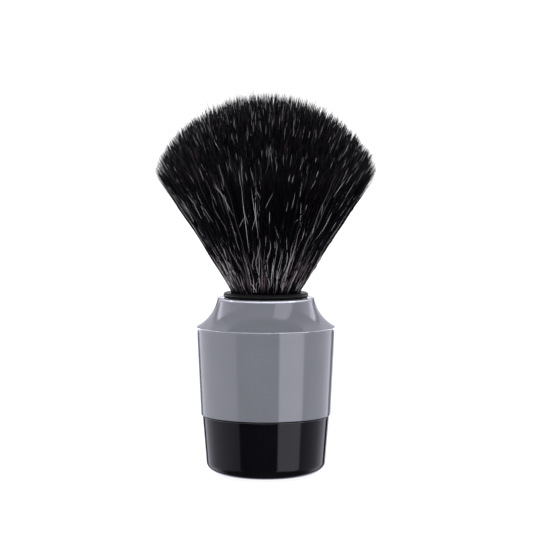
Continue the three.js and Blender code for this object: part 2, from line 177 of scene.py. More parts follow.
class Shader:
    """A Principled material and short ways to wire procedural detail into it."""

    def __init__(self, name, color, roughness, **sockets):
        self.material = bpy.data.materials.new(name)
        self.material.use_nodes = True
        self.tree = self.material.node_tree
        self.bsdf = self.tree.nodes["Principled BSDF"]
        self.bsdf.inputs["Base Color"].default_value = (*color, 1)
        self.bsdf.inputs["Roughness"].default_value = roughness
        for socket, value in sockets.items():
            self.bsdf.inputs[socket.replace("_", " ")].default_value = value
        self.material.diffuse_color = (*color, 1)

    def node(self, kind, **values):
        """A new node of this kind, with these inputs set."""
        made = self.tree.nodes.new(kind)
        for key, value in values.items():
            made.inputs[key].default_value = value
        return made

    def link(self, a, b):
        self.tree.links.new(a, b)

    def position(self, scale):
        """Object coordinates in millimetres, stretched by scale."""
        coordinates = self.node("ShaderNodeTexCoord")
        mapping = self.node("ShaderNodeMapping")
        mapping.inputs["Scale"].default_value = [s / MM for s in scale]
        self.link(coordinates.outputs["Object"], mapping.inputs["Vector"])
        return mapping.outputs["Vector"]

    def noise(self, per_mm, detail, stretch=(1, 1, 1)):
        """Noise in the object's space: its scale is in cycles per millimetre."""
        texture = self.node("ShaderNodeTexNoise", Scale=per_mm, Detail=detail, Roughness=0.5)
        self.link(self.position(stretch), texture.inputs["Vector"])
        return texture.outputs["Fac"]

    def ranged(self, value, low, high):
        """A noise value, mapped to run from low to high."""
        mapped = self.node("ShaderNodeMapRange")
        mapped.inputs["From Min"].default_value = NOISE_SPAN[0]
        mapped.inputs["From Max"].default_value = NOISE_SPAN[1]
        mapped.inputs["To Min"].default_value = low
        mapped.inputs["To Max"].default_value = high
        self.link(value, mapped.inputs["Value"])
        return mapped.outputs["Result"]

    def vary_color(self, value, dark, light):
        ramp = self.node("ShaderNodeValToRGB")
        for element, position, color in zip(ramp.color_ramp.elements, NOISE_SPAN, (dark, light)):
            element.position = position
            element.color = (*color, 1)
        self.link(value, ramp.inputs["Fac"])
        self.link(ramp.outputs["Color"], self.bsdf.inputs["Base Color"])

    def vary_roughness(self, value, low, high):
        self.link(self.ranged(value, low, high), self.bsdf.inputs["Roughness"])

    def bump(self, value, height_mm):
        made = self.node("ShaderNodeBump", Strength=1.0, Distance=height_mm * MM)
        self.link(value, made.inputs["Height"])
        self.link(made.outputs["Normal"], self.bsdf.inputs["Normal"])


def moulded_plastic(name, dark, light, roughness, ripple, ior=1.5):
    """Polished moulded plastic: faint flow marks in its colour, fine wipe marks in its gloss, and
    the slow ripple of a moulded wall."""
    shader = Shader(name, dark, roughness[0], IOR=ior)
    shader.vary_color(shader.noise(0.12, 2), dark, light)
    shader.vary_roughness(shader.noise(0.9, 5, (1, 1, 0.25)), *roughness)
    shader.bump(shader.noise(0.16, 2), ripple)
    return shader.material


def brushed_metal(name, dark, light, roughness, stretch):
    """Metal with fine tool marks, drawn out by stretch."""
    shader = Shader(name, dark, roughness[0], Metallic=1.0)
    lines = shader.noise(1.2, 6, stretch)
    shader.vary_color(lines, dark, light)
    shader.vary_roughness(lines, *roughness)
    shader.bump(lines, 0.006)
    return shader.material


def rubber_material(name, color, light, grain):
    """Dull rubber with a fine grain."""
    shader = Shader(name, color, 0.7)
    shader.vary_color(shader.noise(0.7, 4), color, light)
    shader.vary_roughness(shader.noise(2.5, 4), 0.6, 0.85)
    shader.bump(shader.noise(grain, 4), 0.02)
    return shader.material


def fibre_material(name, color, roughness, specular):
    """One plain colour for fibres that are too fine to show any detail on them."""
    return Shader(name, color, roughness, IOR=1.5, Specular_IOR_Level=specular).material


# The grey's index is above any plastic's, to make its reflections as strong as the photograph's.
GREY = moulded_plastic(
    "grey_gloss_plastic",
    dark=(0.19, 0.197, 0.228),
    light=(0.199, 0.206, 0.238),
    roughness=(0.05, 0.09),
    ripple=0.004,
    ior=2.0,
)
BLACK = moulded_plastic(
    "black_gloss_plastic",
    dark=(0.0028, 0.0028, 0.004),
    light=(0.0042, 0.0042, 0.0058),
    roughness=(0.04, 0.075),
    ripple=0.004,
)
# The collar's index is low, so that it stays black beside the bright rim.
COLLAR = moulded_plastic(
    "satin_black_plastic",
    dark=(0.011, 0.011, 0.0105),
    light=(0.016, 0.016, 0.0155),
    roughness=(0.26, 0.36),
    ripple=0.008,
    ior=1.14,
)
STEEL = brushed_metal(
    "turned_steel",
    dark=(0.36, 0.365, 0.37),
    light=(0.46, 0.465, 0.47),
    roughness=(0.24, 0.42),
    stretch=(0.15, 0.15, 3),
)
BRASS = brushed_metal(
    "machined_brass",
    dark=(0.55, 0.34, 0.09),
    light=(0.68, 0.45, 0.15),
    roughness=(0.2, 0.36),
    stretch=(0.2, 0.2, 2.5),
)
RUBBER = rubber_material(
    "nitrile_rubber", color=(0.009, 0.009, 0.009), light=(0.018, 0.018, 0.018), grain=6
)
PAD_RUBBER = rubber_material(
    "foot_pad_rubber", color=(0.012, 0.012, 0.013), light=(0.026, 0.026, 0.027), grain=9
)


def resin_material():
    """Clear amber casting resin, a little uneven."""
    shader = Shader("cast_resin", (0.42, 0.2, 0.03), 0.2, IOR=1.54)
    shader.vary_color(shader.noise(0.5, 4), (0.34, 0.15, 0.02), (0.55, 0.3, 0.06))
    shader.vary_roughness(shader.noise(1.5, 3), 0.14, 0.3)
    shader.bump(shader.noise(0.6, 3), 0.05)
    return shader.material


def cord_material():
    """Undyed cord, with its turns showing as bands."""
    shader = Shader("bound_cord", (0.6, 0.52, 0.36), 0.85)
    strands = shader.noise(2.2, 4, (1, 1, 4))
    shader.vary_color(strands, (0.5, 0.42, 0.28), (0.7, 0.62, 0.46))
    shader.vary_roughness(strands, 0.75, 0.95)
    shader.bump(strands, 0.06)
    return shader.material


RESIN = resin_material()
CORD = cord_material()


def place(piece, body, slot, material, *nodes):
    """Gives a piece its material and its body, and hides the CAD nodes that it stands in for. The
    slot argument is not used.
    """
    piece.data.materials.append(material)
    if nodes:
        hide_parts(*nodes)
    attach(piece, body)


# ---- Handle -----------------------------------------------------------------------------------

SHOULDER_R = 19.95
SHOULDER_Z = 43.1
SHOULDER_ROUND = 0.42
FLARE_R = 11.6
FLARE_START = (SHOULDER_R - 0.2, SHOULDER_Z + 0.05)
RIM_R = 14.0
RIM_LAND = 0.55
LAND_LEAN = 0.025
RIM_ROUND = 0.22
SLEEVE_FOOT_R = 18.72
EDGE_ROUND = 0.16
SEAM_Z = SLEEVE_FOOT - 0.3

# Inside the sleeve.
SEAL_RECESS = (11.95, TOP - 0.9)
SEAL_RECESS_ROUND = 0.12
SOCKET_R = 10.9
SOCKET_CHAMFER = 0.25
SOCKET_FLOOR = 35.4
SOCKET_FLOOR_THICKNESS = 2
SOCKET_WALL_R = 12.9
INSERT_HALF_FLATS = 7.2
BOSS_R = 10.2
BOSS_FOOT = 21.0
CAVITY_ROOF = [(SOCKET_WALL_R, 43.6), (14.6, 42.6), (17.4, 39.0)]
CAVITY_R = 16.75
CAVITY_DRAFT = 0.25
RIB_COUNT = 6
RIB_INNER_R = 9.6
RIB_OUTER_R = 17.6
RIB_THICKNESS = 1.5
RIB_FOOT = 24.5
RIB_TOP = SOCKET_FLOOR - 0.4

# The base cup, from its rounded foot up to the spigot inside the sleeve.
BASE_TOP_R = 18.3
BASE_LOW_R = 17.2
BASE_ROUND_Z = 4.1
BASE_FOOT_R = 10.6
SPIGOT_R = 16.55
SPIGOT_TOP = 22.0
SPIGOT_CHAMFER = 0.4
GROOVE_R = 15.3
GROOVE_FOOT = 18.2
GROOVE_TOP = 19.8
CUP_INNER_R = 14.9
CUP_FLOOR_Z = 4.2
CUP_FILLET = 1.0
SCREW_BOSS_R = 7.4
SCREW_BOSS_TOP = 7.8
SCREW_HOLE_R = 2.75
SCREW_POCKET_R = 5.3
SCREW_POCKET_ROOF = 5.4
PAD_RECESS_R = 10.0
PAD_RECESS_CHAMFER = 0.12
PAD_CLEARANCE = 0.15

PAD_R = 9.85
PAD_EDGE = 0.35
PAD_GROOVE_WIDTH = 0.8
PAD_GROOVE_DEPTH = 0.4
PAD_GROOVES = (4.6, 7.4)


def circle_centre(start, end, radius):
    """The centre of a circle through two points, on the right of the way from one to the other."""
    a, b = np.array(start), np.array(end)
    half = (b - a) / 2
    side = np.array((half[1], -half[0])) / np.linalg.norm(half)
    return a + half + side * math.sqrt(radius**2 - half @ half)


def flare_points(steps):
    """The concave sweep from the shoulder up to the rim of the top face."""
    rim = (RIM_R, TOP - RIM_LAND)
    centre = circle_centre(FLARE_START, rim, FLARE_R)
    angles = [
        180 + math.degrees(math.atan2(centre[1] - z, centre[0] - r))
        for r, z in (FLARE_START, rim)
    ]
    return arc(centre, FLARE_R, FLARE_R, *angles, steps)


def sleeve_profile():
    """The sleeve's section, and the indices of the points of its hexagonal pocket."""
    flare = flare_points(28)
    # The sweep's first points are left out, because the shoulder's rounding takes their place.
    flare_from = 2
    outside = [(SLEEVE_FOOT_R, SLEEVE_FOOT), (SHOULDER_R, SHOULDER_Z)]
    rim_edge = (RIM_R - LAND_LEAN, TOP)
    mouth = (SEAL_RECESS[0], TOP)
    shoulder = fillet(outside[0], outside[1], flare[flare_from], SHOULDER_ROUND, 8)
    rim = fillet(flare[-1], rim_edge, mouth, RIM_ROUND, 5)
    inner_edge = fillet((RIM_R, TOP), mouth, SEAL_RECESS, SEAL_RECESS_ROUND, 3)
    foot = fillet((CAVITY_R, SLEEVE_FOOT), outside[0], outside[1], EDGE_ROUND, 5)
    wall = [
        (
            SLEEVE_FOOT_R + (SHOULDER_R - SLEEVE_FOOT_R) * t,
            SLEEVE_FOOT + (SHOULDER_Z - SLEEVE_FOOT) * t,
        )
        for t in (0.06, 0.35, 0.65, 0.94)
    ]
    socket = [
        SEAL_RECESS,
        (SOCKET_R + SOCKET_CHAMFER, SEAL_RECESS[1]),
        (SOCKET_R, SEAL_RECESS[1] - SOCKET_CHAMFER),
        (SOCKET_R, SOCKET_FLOOR),
    ]
    pocket = [(INSERT_HALF_FLATS, SOCKET_FLOOR), (INSERT_HALF_FLATS, BOSS_FOOT)]
    cavity = [
        (BOSS_R, BOSS_FOOT),
        (BOSS_R, SOCKET_FLOOR - SOCKET_FLOOR_THICKNESS),
        (SOCKET_WALL_R, SOCKET_FLOOR - SOCKET_FLOOR_THICKNESS),
        *CAVITY_ROOF,
        (CAVITY_R + CAVITY_DRAFT, SPIGOT_TOP + 2),
        (CAVITY_R, SPIGOT_TOP + 1),
        (CAVITY_R, SLEEVE_FOOT),
    ]
    before = foot + wall + shoulder + flare[flare_from:] + rim + inner_edge + socket
    return before + pocket + cavity, (len(before), len(before) + 1)


def ribs_data():
    """The radial ribs between the boss and the sleeve's wall."""
    vertices, faces = [], []
    half = RIB_THICKNESS / 2
    section = [(RIB_INNER_R, -half), (RIB_OUTER_R, -half), (RIB_OUTER_R, half), (RIB_INNER_R, half)]
    box_faces = [(0, 3, 2, 1), (4, 5, 6, 7), (0, 1, 5, 4), (1, 2, 6, 5), (2, 3, 7, 6), (3, 0, 4, 7)]
    for i in range(RIB_COUNT):
        a = (i + 0.5) * 2 * math.pi / RIB_COUNT
        shift = len(vertices)
        for z in (RIB_FOOT, RIB_TOP):
            for r, side in section:
                x = r * math.cos(a) - side * math.sin(a)
                y = r * math.sin(a) + side * math.cos(a)
                vertices.append((x, y, z))
        faces += [tuple(k + shift for k in face) for face in box_faces]
    return vertices, faces


def make_sleeve():
    """The grey sleeve's shell, and the ribs inside it."""
    profile, hexagon = sleeve_profile()
    sleeve = lathe("sleeve_shell", profile, 288, hexagon)
    place(sleeve, "handle", "sleeve_grey", GREY, "handle_sleeve")
    ribs = add_object("sleeve_ribs", *ribs_data())
    place(ribs, "handle", "sleeve_grey", GREY)


def base_profile():
    """The base cup's section: the rounded foot, the wall, the spigot and the inside."""
    wall_top, low = (BASE_TOP_R, SEAM_Z), (BASE_LOW_R, BASE_ROUND_Z)
    centre = (BASE_FOOT_R, BASE_ROUND_Z)
    curve = arc(centre, BASE_LOW_R - BASE_FOOT_R, BASE_ROUND_Z - BASE_FOOT, -90, 0, 24)
    top_edge = fillet(low, wall_top, (SPIGOT_R, SEAM_Z), EDGE_ROUND, 5)
    wall = [
        (low[0] + (wall_top[0] - low[0]) * t, low[1] + (wall_top[1] - low[1]) * t)
        for t in (0.3, 0.65, 0.95)
    ]
    spigot = [
        (SPIGOT_R, SEAM_Z),
        (SPIGOT_R, GROOVE_FOOT),
        (GROOVE_R, GROOVE_FOOT),
        (GROOVE_R, GROOVE_TOP),
        (SPIGOT_R, GROOVE_TOP),
        (SPIGOT_R, SPIGOT_TOP - SPIGOT_CHAMFER),
        (SPIGOT_R - SPIGOT_CHAMFER, SPIGOT_TOP),
        (CUP_INNER_R, SPIGOT_TOP),
    ]
    inside = [
        (CUP_INNER_R, CUP_FLOOR_Z + CUP_FILLET),
        (CUP_INNER_R - CUP_FILLET, CUP_FLOOR_Z),
        (SCREW_BOSS_R, CUP_FLOOR_Z),
        (SCREW_BOSS_R, SCREW_BOSS_TOP),
        (SCREW_HOLE_R, SCREW_BOSS_TOP),
        (SCREW_HOLE_R, SCREW_POCKET_ROOF),
        (SCREW_POCKET_R, SCREW_POCKET_ROOF),
        (SCREW_POCKET_R, PAD_TOP + PAD_CLEARANCE),
        (PAD_RECESS_R, PAD_TOP + PAD_CLEARANCE),
        (PAD_RECESS_R, BASE_FOOT + PAD_RECESS_CHAMFER),
        (PAD_RECESS_R + PAD_RECESS_CHAMFER, BASE_FOOT),
    ]
    return curve + wall + top_edge + spigot + inside


def pad_profile():
    """The foot pad's section, with two half-round grooves and a rounded edge."""
    grooves = []
    for inner in PAD_GROOVES:
        middle = (inner + PAD_GROOVE_WIDTH / 2, 0)
        grooves += arc(middle, PAD_GROOVE_WIDTH / 2, PAD_GROOVE_DEPTH, 180, 0, 8)
    edge = arc((PAD_R - PAD_EDGE, PAD_EDGE), PAD_EDGE, PAD_EDGE, -90, 0, 5)
    return [(0, 0), *grooves, *edge, (PAD_R, PAD_TOP), (0, PAD_TOP)]


def make_base():
    """The black base cup, and the rubber pad under it."""
    base = lathe("base_shell", base_profile(), 288)
    place(base, "handle", "base_black", BLACK, "base_cup")
    pad = lathe("foot_disc", pad_profile(), 144)
    place(pad, "handle", "rubber", PAD_RUBBER, "foot_pad")


# ---- Collar -----------------------------------------------------------------------------------

CUP_R = 10.6
CUP_BORE = 9.8
CUP_FOOT = TOP - 12.6
CUP_BOTTOM = 2
COLLAR_EDGE = 0.3
FLANGE_R = 12.2
FLANGE_GAP = 0.1
THREAD_PITCH = 1.5
THREAD_ROOT = 4.1
THREAD_CREST = 4.9
THREAD_TURNS = 5.2
THREAD_STEPS = 72
THREAD_END = 0.35
THREAD_SUNK = 0.05
O_RING_R = 11.3
O_RING_SECTION = 0.4


def collar_profile():
    """The collar's section: the stub, the cup, and the flange with its rounded outer edge."""
    flange_foot = TOP + FLANGE_GAP
    half = (COLLAR_TOP - flange_foot) / 2
    bead = arc((FLANGE_R - half, flange_foot + half), half, half, -90, 90, 16)
    lip_centre = (CUP_BORE + COLLAR_EDGE, COLLAR_TOP - COLLAR_EDGE)
    foot_centre = (CUP_R - COLLAR_EDGE, CUP_FOOT + COLLAR_EDGE)
    return [
        (0, STUB_TIP),
        (THREAD_ROOT - COLLAR_EDGE, STUB_TIP),
        (THREAD_ROOT, STUB_TIP + COLLAR_EDGE),
        (THREAD_ROOT, CUP_FOOT),
        *arc(foot_centre, COLLAR_EDGE, COLLAR_EDGE, -90, 0, 4),
        (CUP_R, flange_foot),
        *bead,
        *arc(lip_centre, COLLAR_EDGE, COLLAR_EDGE, 90, 180, 6),
        (CUP_BORE, CUP_FOOT + CUP_BOTTOM),
        (0, CUP_FOOT + CUP_BOTTOM),
    ]


def thread_section():
    """The ridge's section, which starts a little inside the stub."""
    half_crest, half_root, buried = 0.12, 0.54, 0.25
    slope = (half_root - half_crest) / (THREAD_CREST - THREAD_ROOT)
    half_buried = half_root + buried * slope
    return [
        (THREAD_ROOT - buried, -half_buried),
        (THREAD_CREST, -half_crest),
        (THREAD_CREST, half_crest),
        (THREAD_ROOT - buried, half_buried),
    ]


def tapered_thread():
    """The stub's thread, lower over its first and last part of a turn."""
    section = thread_section()
    bottom = math.ceil(STUB_TIP / THREAD_PITCH) * THREAD_PITCH
    vertices, faces = helix_data(section, THREAD_PITCH, bottom, THREAD_TURNS, THREAD_STEPS)
    lowest = THREAD_ROOT - THREAD_SUNK
    shaped = []
    for index, (x, y, z) in enumerate(vertices):
        turn = index // len(section) / THREAD_STEPS
        keep = min(1, THREAD_END + turn, THREAD_END + max(0, THREAD_TURNS - turn))
        r = math.hypot(x, y)
        wanted = min(r, lowest + (THREAD_CREST - THREAD_ROOT + THREAD_SUNK) * keep)
        shaped.append((x * wanted / r, y * wanted / r, z))
    return shaped, faces


def make_collar():
    """The collar with its threaded stub, and the O-ring round it."""
    body = lathe_data(collar_profile(), 216)
    collar = add_object("collar_body", *merged(body, tapered_thread()), SMOOTH_ANGLE)
    place(collar, "knot", "collar_black", COLLAR, "knot_collar")
    centre = sum(v.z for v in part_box("collar_seal")) / 2 / MM
    section = arc((O_RING_R, centre), O_RING_SECTION, O_RING_SECTION, 0, 345, 23)
    ring = lathe("collar_o_ring", section, 192, (), 60)
    place(ring, "seal", "rubber", RUBBER, "collar_seal")


# ---- Fibres -----------------------------------------------------------------------------------

# The fan's side: its radius at the collar, its slope there, and how much the slope grows.
FAN_FOOT = COLLAR_TOP
ROOT_R = 9.7
FAN_SLOPE = 0.58
FAN_CURVE = 0.0019
FAN_CORNER = FAN_FOOT + 33.0

# The sphere that the fan's top lies on.
DOME_R = 35.0
DOME_Z = TOP + 23.25

# A fibre's share is its place across the fan: 0 on the axis and 1 on the fan's side. A tip's height
# is off the dome's by a random amount with this mean and spread, and the tips near the fan's side
# hang down by a random amount in this range as well.
TIP_OFFSET = (-0.45, 0.85)
EDGE_SHARE = 0.9
EDGE_DROOP = (-0.3, 1.5)
FIBRE_TWIST = 0.035
CRIMP_LENGTH = (7, 15)
CRIMP_SWING = 0.09
CRIMP_RISE = 0.6
CRIMP_FADE = 4

FIBRE_COUNT = 12000
AZIMUTH_SCATTER = 0.012
GATHERED_TIPS = 2400
GATHER_PULL = (0.3, 0.85)
GATHER_RISE = 0.3
OUTER_SHARE = 0.87
CROWN_LENGTH = 11.0
FIBRE_FOOT = TOP - 0.6
FIBRE_LEAN = 0.02
FIBRE_RADIUS = (0.11, 0.17)
PIECE_FACES = 195000
GOLDEN = math.pi * (3 - math.sqrt(5))

# A strand narrows to its tip over this share of its length, by this power, down to this width, and
# one that is loose at both ends narrows to its foot too.
TIP_TAPER = 0.45
TIP_TAPER_POWER = 0.8
TIP_WIDTH = 0.06
FOOT_TAPER = 0.3
FOOT_WIDTH = 0.1


def fan_radius(z):
    """The radius of the fan's side at a height."""
    up = np.maximum(z - FAN_FOOT, 0)
    return ROOT_R + FAN_SLOPE * up + FAN_CURVE * up**2


def tip_height(share):
    """The height where the fibre at this share of the fan's radius reaches the dome."""
    low, high = np.full_like(share, FAN_FOOT), np.full_like(share, DOME_Z + DOME_R)
    for _ in range(40):
        middle = (low + high) / 2
        inside = (share * fan_radius(middle)) ** 2 + (middle - DOME_Z) ** 2 < DOME_R**2
        inside |= middle < DOME_Z
        low = np.where(inside, middle, low)
        high = np.where(inside, high, middle)
    return low


def strand_paths(rng, share, azimuth, start_z, segments, lean):
    """Centre lines of fibres: an array of strands x points x 3."""
    count = len(share)
    s = np.linspace(0, 1, segments + 1)[None, :]
    edge = np.clip((share - EDGE_SHARE) / (1 - EDGE_SHARE), 0, 1)
    offset = rng.normal(*TIP_OFFSET, count) - edge * rng.uniform(*EDGE_DROOP, count)
    top = tip_height(share) + offset
    foot = np.broadcast_to(start_z, (count,))
    z = foot[:, None] + (top - foot)[:, None] * s
    up = np.clip((z - FAN_FOOT) / (DOME_Z + DOME_R - FAN_FOOT), 0, 1)
    leaning = rng.normal(0, lean, count)[:, None] * up
    radius = share[:, None] * fan_radius(z) * (1 + leaning)
    twist = rng.normal(0, FIBRE_TWIST, count)[:, None] * up
    wave_phase = rng.uniform(0, 2 * math.pi, (2, count))
    wave_length = rng.uniform(*CRIMP_LENGTH, count)
    swing = rng.gamma(2.0, CRIMP_SWING, count)
    waves = [
        swing[:, None] * np.sin(2 * math.pi * z / wave_length[:, None] + phase[:, None])
        for phase in wave_phase
    ]
    fade = np.clip((z - FAN_FOOT) / CRIMP_FADE, 0, 1)
    radius = radius + waves[0] * fade * CRIMP_RISE
    return around_axis(radius, azimuth[:, None] + twist, waves[1] * fade, z)


def around_axis(radius, angle, side, z):
    """Points at a radius and an angle, moved sideways, as one array with x, y and z last."""
    x = radius * np.cos(angle) - side * np.sin(angle)
    y = radius * np.sin(angle) + side * np.cos(angle)
    return np.stack([x, y, z], axis=2)


def gather(paths, groups, pull):
    """Draws the strands of a group towards one another at their tips, as damp fibres gather."""
    tips = paths[:, -1]
    order = np.argsort(groups, kind="stable")
    unique, first = np.unique(groups[order], return_index=True)
    sums = np.add.reduceat(tips[order], first, axis=0)
    counts = np.diff(np.append(first, len(groups)))
    centres = np.zeros((unique.max() + 1, 3))
    centres[unique] = sums / counts[:, None]
    s = np.linspace(0, 1, paths.shape[1])[None, :, None]
    shift = (centres[groups] - tips)[:, None] * (s**2) * pull[:, None, None]
    shift[:, :, 2] *= GATHER_RISE
    return paths + shift


def strand_mesh(name, paths, thickness, rng, both_ends):
    """Three-sided strands along centre lines, tapering to the tip and, if asked, to the foot."""
    count, points, _ = paths.shape
    tangent = np.gradient(paths, axis=1)
    tangent /= np.linalg.norm(tangent, axis=2, keepdims=True)
    outward = paths * [1, 1, 0]
    outward = outward / np.maximum(np.linalg.norm(outward, axis=2, keepdims=True), 1e-6)
    across = np.cross(tangent, outward)
    across /= np.maximum(np.linalg.norm(across, axis=2, keepdims=True), 1e-6)
    other = np.cross(across, tangent)
    s = np.linspace(0, 1, points)[None, :, None]
    taper = np.clip((1 - s) / TIP_TAPER, 0, 1) ** TIP_TAPER_POWER * (1 - TIP_WIDTH) + TIP_WIDTH
    if both_ends:
        taper = taper * (np.clip(s / FOOT_TAPER, 0, 1) * (1 - FOOT_WIDTH) + FOOT_WIDTH)
    radius = thickness[:, None, None] * taper
    roll = rng.uniform(0, 2 * math.pi, count)[:, None, None]
    corners = []
    for k in range(3):
        turn = roll + k * 2 * math.pi / 3
        corners.append(paths + radius * (np.cos(turn) * across + np.sin(turn) * other))
    vertices = np.stack(corners, axis=2).reshape(-1, 3)
    base = (np.arange(count) * points * 3)[:, None]
    ring = (np.arange(points - 1) * 3)[None, :] + base
    quads = []
    for k in range(3):
        n = (k + 1) % 3
        quads.append(np.stack([ring + k, ring + n, ring + 3 + n, ring + 3 + k], axis=2))
    quads = np.stack(quads, axis=2).reshape(-1, 4)
    first, last = base[:, 0], base[:, 0] + (points - 1) * 3
    caps = np.concatenate(
        [
            np.stack([first + 2, first + 1, first], axis=1),
            np.stack([last, last + 1, last + 2], axis=1),
        ]
    )
    mesh = bpy.data.meshes.new(name)
    mesh.vertices.add(len(vertices))
    mesh.vertices.foreach_set("co", (vertices * MM).ravel())
    loops = np.concatenate([quads.ravel(), caps.ravel()])
    starts = np.concatenate(
        [np.arange(len(quads)) * 4, len(quads) * 4 + np.arange(len(caps)) * 3]
    )
    mesh.loops.add(len(loops))
    mesh.loops.foreach_set("vertex_index", loops.astype(np.int32))
    mesh.polygons.add(len(quads) + len(caps))
    mesh.polygons.foreach_set("loop_start", starts.astype(np.int32))
    mesh.update(calc_edges=True)
    mesh.validate()
    mesh.shade_smooth()
    piece = bpy.data.objects.new(name, mesh)
    bpy.context.scene.collection.objects.link(piece)
    return piece


FIBRE_BLACK = fibre_material(
    "fibre_black", color=(0.0022, 0.0023, 0.0036), roughness=0.34, specular=0.07
)
FIBRE_BROWN = fibre_material(
    "fibre_brown_black", color=(0.014, 0.007, 0.009), roughness=0.34, specular=0.12
)
# Painted sheen: a grey that stands in for light glinting on black fibres, given to a few of the
# fan's strands.
FIBRE_PAINTED_SHEEN = fibre_material(
    "fibre_painted_sheen", color=(0.1, 0.093, 0.105), roughness=0.28, specular=0.2
)
# Painted highlight: a pale grey that stands in for light caught by black fibres, on single strands
# and tips.
FIBRE_PAINTED_HIGHLIGHT = fibre_material(
    "fibre_painted_highlight", color=(0.72, 0.7, 0.74), roughness=0.3, specular=0.4
)
# Partly the fibres' own mauve tint and partly painted highlight: a lighter colour that stands in
# for light caught near the collar.
FIBRE_MAUVE_HIGHLIGHT = fibre_material(
    "fibre_mauve_painted_highlight", color=(0.21, 0.155, 0.175), roughness=0.3, specular=0.3
)
FIBRE_CORE = Shader("fibre_core_black", (0.001, 0.0008, 0.001), 0.8, Specular_IOR_Level=0.1)
FIBRE_CORE.vary_color(
    FIBRE_CORE.noise(0.8, 3, (1, 1, 0.15)), (0.0008, 0.0006, 0.0008), (0.003, 0.002, 0.0025)
)
FIBRE_CORE.bump(FIBRE_CORE.noise(1.4, 3, (1, 1, 0.1)), 0.2)

# The core: its radius at the binding and where the bound root bulges below it, the binding's foot
# and top, the foot and top of its fan, and how much smaller it is than the fan and the dome.
CORE_WAIST_R = 8.4
CORE_BULGE_R = 9.05
CORE_WAIST = (TOP - 6.2, TOP - 0.8)
CORE_FAN = (FAN_FOOT + 1.0, FAN_FOOT + 31.0)
CORE_SHRINK = 0.93
CORE_SUNK = 4.6

# The shades of the fan's own fibres, and the share of them that each one takes, from and to.
SHADES = [
    ("black", FIBRE_BLACK, 0.0, 0.88),
    ("brown", FIBRE_BROWN, 0.88, 0.965),
    # The bright shade is the painted sheen above.
    ("bright", FIBRE_PAINTED_SHEEN, 0.965, 1.0),
]

# Single fibres on the fan's side whose pale colour is painted highlight: their share of its radius
# above the collar and inside it, the length and the height of their waves, how far up the waves
# fade in, and the spread of their turn from foot to tip.
STRAY_SHARE = (0.965, 1.015)
STRAY_ROOT_SHARE = 0.98
STRAY_CRIMP_LENGTH = (7, 16)
STRAY_RISE = 0.12
STRAY_FADE = 3
STRAY_TWIST = 0.05

# Their kinds: piece name, material, count, where they start above the collar, length, sideways
# swing, radius, and segments.
STRAYS = [
    # The pale and mauve colours of these kinds are painted highlight, and the mauve is partly the
    # fibres' own tint.
    ("fibres_stray_long", FIBRE_PAINTED_HIGHLIGHT, 70, (2.0, 28.0), (5.0, 24.0), 0.07, (0.04, 0.075), 12),
    ("fibres_root_mauve_highlight", FIBRE_MAUVE_HIGHLIGHT, 330, (-1.0, 1.5), (3.0, 17.0), 0.32, (0.045, 0.08), 12),
    ("fibres_root_painted_highlight", FIBRE_PAINTED_HIGHLIGHT, 210, (-1.0, 1.5), (3.0, 17.0), 0.32, (0.045, 0.08), 12),
    ("fibres_painted_glint", FIBRE_PAINTED_HIGHLIGHT, 120, (13.0, 31.0), (2.5, 7.0), 0.05, (0.03, 0.055), 5),
]

# Tips on the dome whose pale colour is painted highlight. A power of a half would spread them
# evenly over it, and this one crowds them towards its middle.
PAINTED_HIGHLIGHT_TIPS = 600
PAINTED_HIGHLIGHT_TIP_POWER = 0.8
PAINTED_HIGHLIGHT_TIP_LENGTH = (2.0, 5.5)
PAINTED_HIGHLIGHT_TIP_LEAN = 0.012
PAINTED_HIGHLIGHT_TIP_RADIUS = (0.03, 0.052)


def fibre_core():
    """The dense middle of the bundle, hidden by the strands: root, waist, fan and dome."""
    heights = np.linspace(*CORE_FAN, 16)
    sides = [(float(fan_radius(z)) * CORE_SHRINK, float(z)) for z in heights]
    radius = DOME_R - CORE_SUNK
    corner = math.degrees(math.acos(min(1, (sides[-1][0] + 0.3) / radius)))
    dome = arc((0, DOME_Z), radius, radius, corner, 90, 14)
    dome[-1] = (0, dome[-1][1])
    root_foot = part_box("fibre_knot")[0].z / MM
    profile = [
        (0, root_foot),
        (CORE_WAIST_R, root_foot + 0.7),
        (CORE_BULGE_R, root_foot + 1.3),
        *[(CORE_WAIST_R, z) for z in CORE_WAIST],
        (CORE_WAIST_R + 0.5, TOP + 0.6),
        *sides,
        *dome,
    ]
    core = lathe("fibre_core", profile, 96, (), 50)
    place(core, "knot", "fibre", FIBRE_CORE.material, "fibre_knot")


def add_strands(name, rng, paths, thickness, material, both_ends=False):
    """One piece of the fibre knot, made of strands."""
    piece = strand_mesh(name, paths, thickness, rng, both_ends)
    place(piece, "knot", "fibre", material, "fibre_knot")


